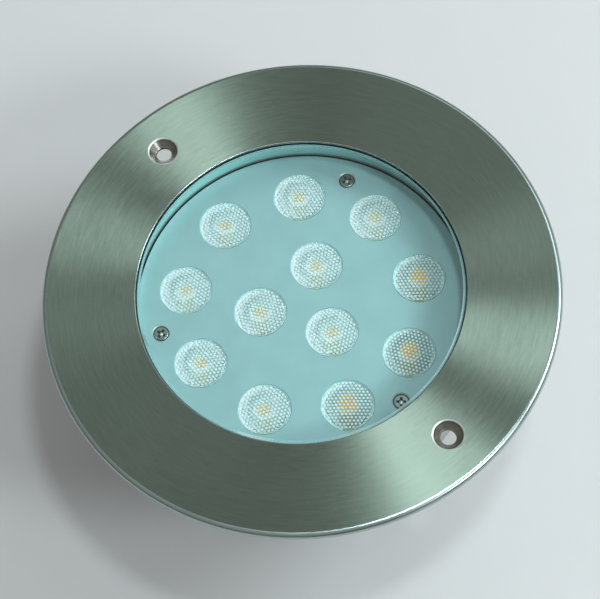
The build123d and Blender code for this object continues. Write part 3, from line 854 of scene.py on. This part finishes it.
# Paints each lens's bead sides and rim by place: the emitter's amber in the middle, painted glow on the lit
# side and below the core, olive further down
def tinted(lens, centre, tints, kind):
    towards = radians(tints["towards"])
    core, halo, lift = (tints[name][kind] for name in ("core", "halo", "coreLift"))
    for face in lens.data.polygons:
        x, y = face.center.x - centre[0], face.center.y - centre[1]
        right, up = x * cos(towards) + y * sin(towards), y * cos(towards) - x * sin(towards)
        away = hypot(right, up)
        if face.material_index == 2:
            facing = abs(face.normal.y * cos(towards) - face.normal.x * sin(towards))
            fromCore = hypot(right, up - lift)
            fromGlow = hypot(right - tints["glowShift"], up)
            if fromCore < core or fromCore < halo and facing > tints["facing"]:
                face.material_index = 3
            elif up < 0 and away < tints["oliveFrom"] or fromGlow > tints["glowFrom"] and right < 0:
                face.material_index = 5
            elif up < 0 and abs(right) < tints["oliveHalf"]:
                face.material_index = 6
        elif face.material_index == 4 and right < -tints["rimGlow"] * away:
            face.material_index = 5
        elif face.material_index == 4 and up < -tints["rimOlive"] * away:
            face.material_index = 6


def lenses(sizes, places, rows):
    low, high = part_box("lens_01")
    top = high.z - sizes["crown"]
    body = lensBody(sizes, low.z, top)
    addFinishes(body, lensSlots)
    sheet = beadSheet(sizes, top - 0.1 * mm)
    paint(body, 4, lambda c, n: hypot(c.x, c.y) > sizes["radius"] - 1.1 * sizes["rimWidth"])
    cut(body, [sheet], "UNION")
    smooth(body, 32)
    print("one lens has", len(body.data.polygons), "faces")
    for number, ((radius, angle), row) in enumerate(zip(places, rows), start=1):
        lens = copied(body, f"beadedLens_{number:02d}")
        lens.rotation_euler = (0, 0, radians(row - angle))
        settle(lens)
        moved(lens, radius, angle)
        turn = radians(angle)
        tinted(lens, (radius * cos(turn), radius * sin(turn)), lensTints, int(number in shadedLenses))
        if number in shadedLenses:
            for slot, name in ((2, shadedLenses[number]), *shadedSlots):
                lens.data.materials[slot] = materials[name]
        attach(lens, "root")
        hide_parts(f"lens_{number:02d}")
    dropped(body)


lenses(lensSizes, lensPlaces, beadRows)
print("lenses done")


# Emitters: a stepped ceramic body, a phosphor disc under a silicone dome, and two solder tabs
ledSizes = {
    "body": 4.0 * mm,
    "bodyHeight": 3.0 * mm,
    "dome": 2.6 * mm,
    "phosphor": 2.2 * mm,
    "phosphorTaper": 0.94,
    "lip": 0.35 * mm,
    "clearance": 0.02 * mm,
    "tabLength": 1.4 * mm,
    "tabWidth": 1.6 * mm,
    "tabThickness": 0.4 * mm,
}


def ledEmitters(sizes, places):
    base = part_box("led_emitters")[0].z
    top, lip, reach, ball = base + sizes["bodyHeight"], sizes["lip"], sizes["body"], sizes["dome"]
    body = turned("ledBody", [
        (0, base), (reach - lip, base), (reach, base + lip), (reach, top - 2 * lip), (reach - lip, top - lip),
        (ball + lip, top - lip), (ball + lip, top), (ball, top), (sizes["phosphor"], top - 2 * lip),
        (0, top - 2 * lip),
    ], 48)
    smooth(body, 30)
    phosphor = turned("ledPhosphor", [
        (0, top - 2 * lip), (sizes["phosphor"], top - 2 * lip),
        (sizes["phosphor"] * sizes["phosphorTaper"], top - lip), (0, top - lip),
    ], 48)
    smooth(phosphor, 30)
    gap = sizes["clearance"]
    dome = turned("ledDome", [
        (0, top - 0.9 * lip), (ball - gap, top - 0.9 * lip), *arc((0, top - gap), ball - gap, 0, 90, 12)[:-1],
        (0, top + ball - 2 * gap),
    ], 48)
    smooth(dome, 30)
    pickNone()
    shape = (2 * (reach + sizes["tabLength"]), sizes["tabWidth"], sizes["tabThickness"])
    bpy.ops.mesh.primitive_cube_add(size=1, location=(0, 0, base + shape[2] / 2), scale=shape)
    tabs = started("ledTabs")
    settle(tabs)
    softEdges(tabs, 0.1 * mm)
    smooth(tabs)
    pieces = [body, phosphor, dome, tabs]
    for piece, name in zip(pieces, ("ledCeramic", "ledPhosphor", "domeSilicone", "tinnedTab")):
        addFinishes(piece, [name])
    one = joined(pieces, "ledEmitter")
    copies = [moved(copied(one, "ledEmitter"), radius, angle) for radius, angle in places]
    dropped(one)
    all12 = joined(copies, "ledEmitters")
    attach(all12, "root")
    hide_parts("led_emitters")


ledEmitters(ledSizes, lensPlaces)
print("emitters done")


# Cover screws: countersunk heads with a tapered cross recess
coverScrewPlaces = {"circle": 56.3 * mm, "angles": [0, 120, 240]}
coverScrewSizes = {
    "head": 2.8 * mm,
    "edge": 0.35 * mm,
    "shank": 1.5 * mm,
    "length": 8.0 * mm,
    "recessSpan": 5.4 * mm,
    "recessWidth": 1.3 * mm,
    "recessDepth": 1.3 * mm,
    "dimple": 0.75 * mm,
}


def fromCoverScrew(place):
    circle = coverScrewPlaces["circle"]
    turns = [radians(angle) for angle in coverScrewPlaces["angles"]]
    return min(hypot(place.x - circle * cos(turn), place.y - circle * sin(turn)) for turn in turns)


def coverScrews(sizes):
    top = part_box("cover_screws")[1].z
    head, shank, edge, tip = sizes["head"], sizes["shank"], sizes["edge"], top - sizes["length"]
    screw = turned("coverScrew", [
        (0, tip), (shank - 0.3 * mm, tip), (shank, tip + 0.3 * mm), (shank, top - head + shank),
        (head, top - edge - 0.05 * mm), *arc((head - edge, top - edge), edge, 0, 90, 5), (0, top),
    ], 64)
    for turn in (45, 135):
        pickNone()
        shape = (sizes["recessSpan"], sizes["recessWidth"], 2 * sizes["recessDepth"])
        bpy.ops.mesh.primitive_cube_add(size=1, location=(0, 0, top), scale=shape)
        slot = started("recessCutter")
        pickFaces(slot, lambda c, n: n.z < -0.9)
        bpy.ops.transform.resize(value=(0.35, 0.6, 1))
        done()
        slot.rotation_euler = (0, 0, radians(turn))
        settle(slot)
        cut(screw, [slot])
    dimple = sizes["dimple"]
    cone = turned("recessCone", [(0, top - 2 * mm), (dimple, top - 2 * mm), (dimple, top - 0.6 * mm),
                                 (0, top - 0.25 * mm)], 24)
    screw = joined([screw, cone], "coverScrew")
    smooth(screw, 30)
    all3 = ringOf(screw, "coverScrews", *coverScrewPlaces.values())
    finishOf(all3, ("headSteel", "shadedSink", "paintedGlintSteel"), "fastener_steel", "cover_screws")
    inRecess = sizes["recessSpan"] / 2.6
    paint(all3, 1, lambda c, n: c.z < top - 0.01 * mm and fromCoverScrew(c) < inRecess)
    # the dimple's cone in the recess is painted with the glint
    paint(all3, 2, lambda c, n: 0.5 < n.z < 0.99 and fromCoverScrew(c) < dimple)


coverScrews(coverScrewSizes)
print("cover screws done")


# Cover plate: turned disc with softened lens holes and three countersinks
plateSizes = {
    "lensHole": 10.3 * mm,
    "holeEdge": 0.15 * mm,
    "screwHole": 1.7 * mm,
    "sinkRadius": 3.6 * mm,
    "sinkLit": 0.45 * mm,  # depth of the countersinks' top band, which is painted bright as a glint
    "rimEdge": 0.2 * mm,
    "spread": 0.45 * mm,  # past the solid, so that the dark gap at the wall is as thin as it looks
}


def coverPlate(sizes, places):
    low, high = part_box("cover_plate")
    edge, hole, sink, screw = (sizes[k] for k in ("rimEdge", "lensHole", "sinkRadius", "screwHole"))
    reach, below, above = high.x + sizes["spread"], low.z - mm, high.z + mm
    plate = turned("coverPlate", [(0, low.z), (reach, low.z), (reach, high.z - edge),
                                  (reach - edge, high.z), (0, high.z)], 192)
    soft, lit = sizes["holeEdge"], sizes["sinkLit"]
    lensCutter = turned("lensCutter", [(0, below), (hole, below), (hole, high.z - soft),
                                       (hole + soft, high.z), (hole + soft, above), (0, above)], 96)
    sinkCutter = turned("sinkCutter", [(0, below), (screw, below), (screw, high.z - sink + screw),
                                       (sink - lit, high.z - lit), (sink, high.z), (sink, above),
                                       (0, above)], 48)
    cutters = [moved(copied(lensCutter, "lensCutter"), radius, angle) for radius, angle in places]
    cutters += [moved(copied(sinkCutter, "sinkCutter"), coverScrewPlaces["circle"], angle)
                for angle in coverScrewPlaces["angles"]]
    cut(plate, cutters)
    dropped(lensCutter, sinkCutter)
    smooth(plate, 20)
    finishOf(plate, ("satinPlate", "shadedSink", "shadedGap", "paintedGlintSteel"), "satin_plate", "cover_plate")
    nearScrew = sink + 0.05 * mm
    # the top band of each countersink is painted with the glint, the rest with painted shade
    paint(plate, 3, lambda c, n: fromCoverScrew(c) < nearScrew and n.z < 0.99)
    paint(plate, 1, lambda c, n: fromCoverScrew(c) < nearScrew and c.z < high.z - lit)
    paint(plate, 2, lambda c, n: hypot(c.x, c.y) > reach - edge - 0.02 * mm and n.z < 0.99)


coverPlate(plateSizes, lensPlaces)
print("cover plate done")


# Cup: drawn wall rounded into its floor, with a hole for the gland
cupSizes = {
    "bore": 65.6 * mm,
    "outer": 67.6 * mm,
    "corner": 6.0 * mm,
    "wall": 2.0 * mm,
    "floor": 2.5 * mm,
    "glandHole": 10.2 * mm,
    "clearance": 0.01 * mm,
    "shadedFrom": 0.1 * mm,  # below the plate's face
}


def cup(sizes):
    low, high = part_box("housing")
    bore, outer, corner = sizes["bore"], sizes["outer"], sizes["corner"]
    inner, floor = corner - sizes["wall"], low.z + sizes["floor"]
    top = high.z - sizes["clearance"]
    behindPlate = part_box("cover_plate")[1].z - sizes["shadedFrom"]
    piece = turned("drawnCup", [
        (sizes["glandHole"], low.z), *arc((outer - corner, low.z + corner), corner, -90, 0, 12),
        (outer, top), (bore, top), (bore, behindPlate),
        *arc((bore - inner, floor + inner), inner, 0, -90, 10), (sizes["glandHole"], floor),
    ], 192)
    smooth(piece, 20)
    finishOf(piece, ("drawnCup", "satinWall", "shadedGap"), "turned_steel", "housing")
    paint(piece, 1, lambda c, n: n.x * c.x + n.y * c.y < -0.0001 and c.z > behindPlate)
    paint(piece, 2, lambda c, n: n.x * c.x + n.y * c.y < -0.0001 and floor + inner < c.z < behindPlate)


cup(cupSizes)
print("cup done")


# Flange of the cup, with the weld bead that holds it: one drop copied all round
flangeSizes = {
    "inner": 67.6 * mm,
    "edge": 0.4 * mm,
    "hole": 2.25 * mm,
    "clearance": 0.01 * mm,
    "drop": 0.8 * mm,
    "dropStretch": (1.0, 1.7, 1.0),
    "dropCount": 180,
}


def weldedFlange(sizes):
    low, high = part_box("housing_flange")
    edge, top = sizes["edge"], high.z - sizes["clearance"]
    flange = turned("weldedFlange", [(sizes["inner"], low.z), (high.x - edge, low.z), (high.x, low.z + edge),
                                     (high.x, top - edge), (high.x - edge, top), (sizes["inner"], top)], 192)
    cut(flange, clampCutters(tubeOutline(0, sizes["hole"], low.z - mm, high.z + mm), 32))
    smooth(flange)
    finishOf(flange, ["turnedBack"], "turned_steel", "housing_flange")
    pickNone()
    bpy.ops.mesh.primitive_uv_sphere_add(segments=10, ring_count=6, radius=sizes["drop"],
                                         location=(0, 0, low.z))
    drop = started("weldDrop")
    drop.scale = sizes["dropStretch"]
    drop.rotation_euler = (0, radians(45), 0)
    settle(drop)
    smooth(drop, 60)
    angles = [360 / sizes["dropCount"] * k for k in range(sizes["dropCount"])]
    bead = ringOf(drop, "weldBead", sizes["inner"] + 0.1 * mm, angles)
    finishOf(bead, ["weldSteel"], "turned_steel")


weldedFlange(flangeSizes)
print("flange and weld done")


# Clamp screws: fluted socket heads on bevelled washers
clampSizes = {
    "head": 3.5 * mm,
    "headHeight": 4.0 * mm,
    "edge": 0.4 * mm,
    "flutes": 36,
    "fluteShare": 0.96,
    "key": 3.0 * mm,
    "keyDepth": 2.0 * mm,
    "shank": 1.98 * mm,
    "washer": 4.0 * mm,
    "washerHole": 2.25 * mm,
    "washerEdge": 0.12 * mm,
}


def pickPoints(piece, test):
    edit(piece)
    bpy.ops.mesh.select_mode(type="VERT")
    done()
    for vertex in piece.data.vertices:
        vertex.select = test(vertex.co)
    bpy.ops.object.mode_set(mode="EDIT")


def prism(name, sides, radius, bottom, top, turn=0.0):
    pickNone()
    bpy.ops.mesh.primitive_cylinder_add(vertices=sides, radius=radius, depth=top - bottom,
                                        location=(0, 0, (bottom + top) / 2), rotation=(0, 0, radians(turn)))
    piece = started(name)
    settle(piece)
    return piece


def clampScrews(sizes):
    low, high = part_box("clamp_screws")
    seat, head, edge = low.z + sizes["headHeight"], sizes["head"], sizes["edge"]
    step = pi / sizes["flutes"]
    screw = prism("clampScrew", 2 * sizes["flutes"], head, low.z, seat)
    pickPoints(screw, lambda v: round((pi / 2 - atan2(v.y, v.x)) / step) % 2 == 1)
    bpy.ops.transform.resize(value=(sizes["fluteShare"], sizes["fluteShare"], 1), center_override=(0, 0, 0))
    done()
    past = 0.1 * mm
    rounded = turned("headShape", [
        (0, low.z), (head - edge, low.z), *arc((head - edge, low.z + edge), edge, -90, 0, 3)[1:],
        (head + past, low.z + edge + past), (head + past, seat), (0, seat),
    ], 72)
    cut(screw, [rounded], "INTERSECT")
    cut(screw, [prism("keyCutter", 6, sizes["key"] / sqrt(3), low.z - mm, low.z + sizes["keyDepth"])])
    radius, root = sizes["shank"], seat - 0.5 * mm
    shank = turned("clampShank", [(0, root), (radius, root), (radius, high.z - edge), (radius - edge, high.z),
                                  (0, high.z)], 24)
    screw = joined([screw, shank], "clampScrew")
    smooth(screw, 20)
    screws = ringOf(screw, "clampScrews", *clampPlaces.values())
    finishOf(screws, ["boltSteel"], "fastener_steel", "clamp_screws")
    low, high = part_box("clamp_washers")
    edge, hole, radius = sizes["washerEdge"], sizes["washerHole"], sizes["washer"]
    washer = turned("clampWasher", [(hole, low.z), (radius - edge, low.z), (radius, low.z + edge),
                                    (radius, high.z - edge), (radius - edge, high.z), (hole, high.z)], 48)
    smooth(washer, 30)
    washers = ringOf(washer, "clampWashers", *clampPlaces.values())
    finishOf(washers, ["boltSteel"], "fastener_steel", "clamp_washers")


clampScrews(clampSizes)
print("clamp screws done")


# Cable gland: body and dome nut with chamfered hexagons, a rubber sleeve and a round-edged gasket
glandSizes = {
    "across": 24.0 * mm,
    "cornerInset": 0.3 * mm,
    "cornerAngle": 30.0,
    "shoulder": -61.5 * mm,
    "hexBottom": -66.5 * mm,
    "thread": 10.0 * mm,
    "threadDepth": 0.7 * mm,
    "threadPitch": 1.5 * mm,
    "bore": 6.2 * mm,
    "spigot": 9.4 * mm,
    "sealOuter": 7.5 * mm,
    "cable": 4.5 * mm,
    "nutHexBottom": -75.5 * mm,
    "domeEnd": 8.5 * mm,
    "domeRound": 2.2 * mm,
    "mouth": 5.4 * mm,
    "domeWall": 2.4 * mm,
    "gasketInner": 10.2 * mm,
    "clearance": 0.02 * mm,
}


def hexagonPiece(name, sizes, bottom, top, hole):
    end = sizes["across"] / 2 - sizes["cornerInset"]
    spread = end + (top - bottom) / 2 / tan(radians(sizes["cornerAngle"]))
    piece = prism(name, 6, sizes["across"] / sqrt(3), bottom, top, 30)
    cones = turned("cornerCones", [(0, bottom), (end, bottom), (spread, (bottom + top) / 2), (end, top),
                                   (0, top)], 96)
    cut(piece, [cones], "INTERSECT")
    cut(piece, [turned("holeCutter", tubeOutline(0, hole, bottom - mm, top + mm), 64)])
    softEdges(piece, 0.15 * mm, 2, 25)
    smooth(piece, 30)
    return piece


def gland(sizes):
    low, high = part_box("gland_body")
    gap, thread, root = sizes["clearance"], sizes["thread"], sizes["thread"] - sizes["threadDepth"]
    spigot, bore, seal, hexBottom = (sizes[k] for k in ("spigot", "bore", "sealOuter", "hexBottom"))
    start, half = sizes["shoulder"] + mm, sizes["threadPitch"] / 2
    crests = int((high.z - start - mm) / half) + 1
    sleeve = turned("glandSleeve", [
        (seal + gap, low.z), (spigot - 0.4 * mm, low.z), (spigot, low.z + 0.4 * mm), (spigot, hexBottom + mm),
        (thread, hexBottom + mm), *[(root if k % 2 else thread, start + half * k) for k in range(crests)],
        (root, high.z), (bore, high.z), (bore, hexBottom), (seal + gap, hexBottom),
    ], 96)
    smooth(sleeve, 30)
    shoulder = hexagonPiece("glandShoulder", sizes, hexBottom, sizes["shoulder"], spigot - mm)
    body = joined([shoulder, sleeve], "glandBody")
    finishOf(body, ["nickelPlate"], "nickel_brass", "gland_body")

    low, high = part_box("gland_dome_nut")
    bottom, inner, mouth = sizes["nutHexBottom"], spigot + gap, sizes["mouth"]
    nut = hexagonPiece("domeNutHexagon", sizes, bottom, high.z, inner)
    shoulder, end, fillet = sizes["across"] / 2 - 0.1 * mm, sizes["domeEnd"], sizes["domeRound"]
    dome = turned("domeNutEnd", [
        (inner, bottom + 0.5 * mm), (inner, bottom), (mouth, low.z + sizes["domeWall"]),
        (mouth, low.z + 0.4 * mm), (mouth + 0.4 * mm, low.z),
        *arc((end - 0.3 * mm, low.z + fillet), fillet, -90, -20, 6),
        (shoulder, bottom - 0.2 * mm), (shoulder, bottom + 0.5 * mm),
    ], 96)
    smooth(dome, 30)
    both = joined([nut, dome], "glandDomeNut")
    finishOf(both, ["nickelPlate"], "nickel_brass", "gland_dome_nut")

    low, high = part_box("gland_seal")
    cable, outer = sizes["cable"], seal - gap
    sleeve = turned("glandRubber", [
        (cable, low.z + 0.4 * mm), (cable + 0.4 * mm, low.z), (outer - 1.8 * mm, low.z),
        (outer, low.z + 1.6 * mm), (outer, high.z - gap), (cable, high.z - gap),
    ], 64)
    smooth(sleeve)
    finishOf(sleeve, ["sealRubber"], "black_seal", "gland_seal")

    low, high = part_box("gland_gasket")
    half = (high.z - low.z) / 2 - gap
    ring = turned("glandGasket", [
        (sizes["gasketInner"], low.z + gap), *arc((high.x - half, (low.z + high.z) / 2), half, -90, 90, 8),
        (sizes["gasketInner"], high.z - gap),
    ], 96)
    smooth(ring)
    finishOf(ring, ["sealRubber"], "black_seal", "gland_gasket")


gland(glandSizes)
print("gland done")


# Carried-over nodes: the shape is the frame's, the finish is new
nodeFinishes = {
    "plate_standoffs": "nickelPlate",
    "led_board": "boardWhite",
    "thermal_pad": "padGrey",
    "heat_spreader": "castAluminium",
    "board_screws": "screwSteel",
    "support_posts": "nickelPlate",
    "driver_board": "boardGreen",
    "driver_spacers": "nickelPlate",
    "driver_screws": "screwSteel",
    "driver_inductors": "ferrite",
    "driver_capacitors": "canSleeve",
    "driver_chips": "ferrite",
    "input_terminal": "terminalPlastic",
    "led_leads": "leadSleeve",
    "gland_locknut": "nickelPlate",
}
nodeFinishes.update({f"lens_holder_{k:02d}": "holderPlastic" for k in range(1, 13)})
for node, finish in nodeFinishes.items():
    for place in nodes[node].material_slots:
        place.material = materials[finish]
print("finishes given to", len(nodeFinishes), "nodes")


# Floor, soft sky and lamps
studio = {
    "floorColour": (0.72, 0.73, 0.72),
    "floorRadius": 4.0,
    "skyTop": 0.37,
    "skyLow": 0.08,
    "lampColour": (0.87, 0.96, 1.0),
    "lamps": [
        {"name": "keyLamp", "azimuth": 50, "elevation": 79.5, "distance": 1.6, "size": 0.20, "power": 5.1},
        {"name": "sideLamp", "azimuth": 60, "elevation": 38, "distance": 1.6, "size": 0.60, "power": 11.4},
        {"name": "frontLamp", "azimuth": 18, "elevation": 40, "distance": 1.6, "size": 0.40, "power": 7.6},
        {"name": "fillLamp", "azimuth": 94, "elevation": 44, "distance": 1.6, "size": 0.40, "power": 1.5},
        {"name": "backLamp", "azimuth": 119, "elevation": 40, "distance": 1.6, "size": 0.80, "power": 0.8},
    ],
}


def floor(values):
    pickNone()
    bpy.ops.mesh.primitive_circle_add(vertices=128, radius=values["floorRadius"], fill_type="NGON",
                                      location=(0, 0, cadBox[0].z))
    sheet = started("studioFloor")
    settle(sheet)
    lighter = tuple(part + 0.02 for part in values["floorColour"])
    finish = grainy("studioFloor", values["floorColour"], lighter, 0.02, (0.75, 0.85), 0.00001,
                    {"Specular IOR Level": 0.2})
    sheet.data.materials.append(finish)


def sky(values):
    world = bpy.data.worlds.new("softSky")
    bpy.context.scene.world = world
    world.use_nodes = True
    tree = world.node_tree
    height = tree.nodes.new("ShaderNodeSeparateXYZ")
    wire(tree, tree.nodes.new("ShaderNodeTexCoord").outputs["Generated"], height.inputs[0])
    level = between(tree, height.outputs[2], values["skyLow"], values["skyTop"], 0.0, 0.8)
    wire(tree, combined(tree, level, level, level), tree.nodes["Background"].inputs["Color"])


def lamps(values):
    for lamp in values["lamps"]:
        azimuth, elevation = radians(lamp["azimuth"]), radians(lamp["elevation"])
        back = Vector((cos(azimuth) * cos(elevation), sin(azimuth) * cos(elevation), sin(elevation)))
        turn = back.to_track_quat("Z", "Y").to_euler()
        bpy.ops.object.light_add(type="AREA", location=back * lamp["distance"], rotation=turn)
        light = bpy.context.object
        light.name = lamp["name"]
        light.data.shape = "DISK"
        light.data.size = lamp["size"]
        light.data.energy = lamp["power"]
        light.data.color = values["lampColour"]


floor(studio)
sky(studio)
lamps(studio)
print("studio lit")
